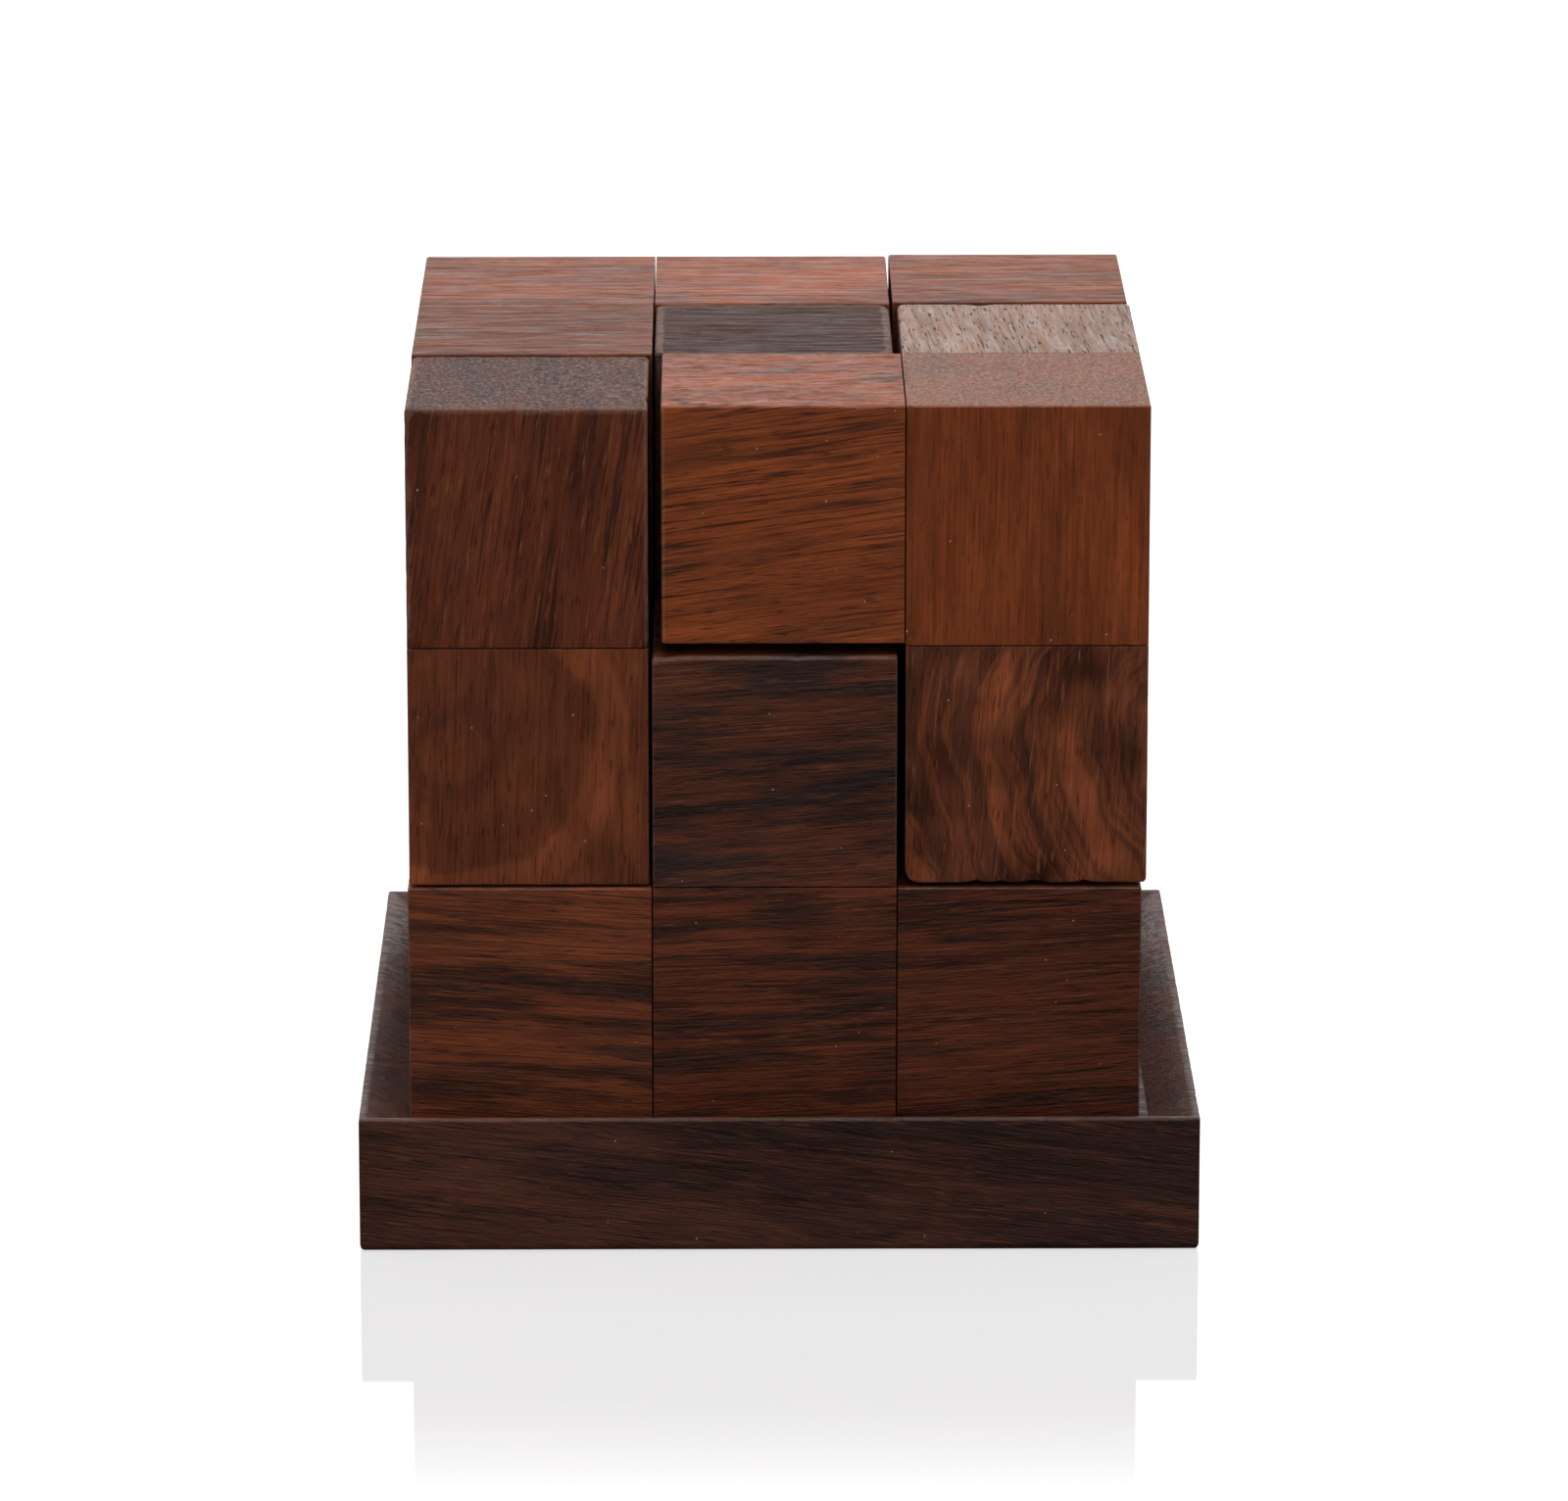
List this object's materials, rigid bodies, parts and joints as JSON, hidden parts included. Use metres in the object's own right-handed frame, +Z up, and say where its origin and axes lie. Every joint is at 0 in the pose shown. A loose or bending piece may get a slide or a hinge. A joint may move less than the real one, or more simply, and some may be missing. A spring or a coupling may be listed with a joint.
{
  "type": "cube assembly puzzle",
  "caption": "Wooden cube assembly puzzle: interlocking pieces of glued unit blocks, packed into a cube that stands in a shallow square tray.",
  "frame": {"origin": "centre of the tray's underside, on the surface it stands on", "axes": "+Z up, square to the tray; -Y out of the front face that shows the long flat piece along the bottom row; +X to the right of that face"},
  "size_m": [0.086, 0.086, 0.0875],
  "materials": {
    "tray_wood": "dark rosewood, oiled, satin",
    "dark_wood": "dark rosewood, oiled, satin",
    "red_wood": "red-brown rosewood, oiled, satin",
    "golden_wood": "orange-brown rosewood, oiled, satin"
  },
  "bodies": {
    "tray": {"tray": "tray_wood"},
    "lower_twist": {"lower_twist_raised": "red_wood", "lower_twist_corner": "dark_wood", "lower_twist_middle": "dark_wood", "lower_twist_centre": "red_wood"},
    "tee": {"tee_left": "golden_wood", "tee_middle": "red_wood", "tee_right": "red_wood", "tee_stem": "dark_wood"},
    "ell": {"ell_top": "red_wood", "ell_middle": "red_wood", "ell_corner": "dark_wood", "ell_foot": "dark_wood"},
    "zigzag": {"zigzag_top": "dark_wood", "zigzag_upper_middle": "dark_wood", "zigzag_lower_middle": "dark_wood", "zigzag_bottom": "red_wood"},
    "short_corner": {"short_corner_upright": "red_wood", "short_corner_elbow": "golden_wood", "short_corner_foot": "dark_wood"},
    "upper_twist": {"upper_twist_corner": "golden_wood", "upper_twist_middle": "golden_wood", "upper_twist_front": "red_wood", "upper_twist_drop": "red_wood"},
    "tripod": {"tripod_centre": "golden_wood", "tripod_side_arm": "golden_wood", "tripod_back_arm": "golden_wood", "tripod_leg": "golden_wood"}
  },
  "joints": [
    {"name": "lower_twist_lift", "type": "slide", "parent": "tray", "child": "lower_twist", "axis": [0, 0, 1], "range_m": [0, 0.04]},
    {"name": "tee_lift", "type": "slide", "parent": "lower_twist", "child": "tee", "axis": [0, 0, 1], "range_m": [0, 0.06]},
    {"name": "short_corner_draw", "type": "slide", "parent": "tee", "child": "short_corner", "axis": [-1, 0, 0], "range_m": [0, 0.03]},
    {"name": "zigzag_lift", "type": "slide", "parent": "tee", "child": "zigzag", "axis": [0, 0, 1], "range_m": [0, 0.085]},
    {"name": "tripod_lift", "type": "slide", "parent": "zigzag", "child": "tripod", "axis": [0, 0, 1], "range_m": [0, 0.06]},
    {"name": "ell_lift", "type": "slide", "parent": "tee", "child": "ell", "axis": [0, 0, 1], "range_m": [0, 0.085]},
    {"name": "upper_twist_lift", "type": "slide", "parent": "ell", "child": "upper_twist", "axis": [0, 0, 1], "range_m": [0, 0.06]}
  ]
}
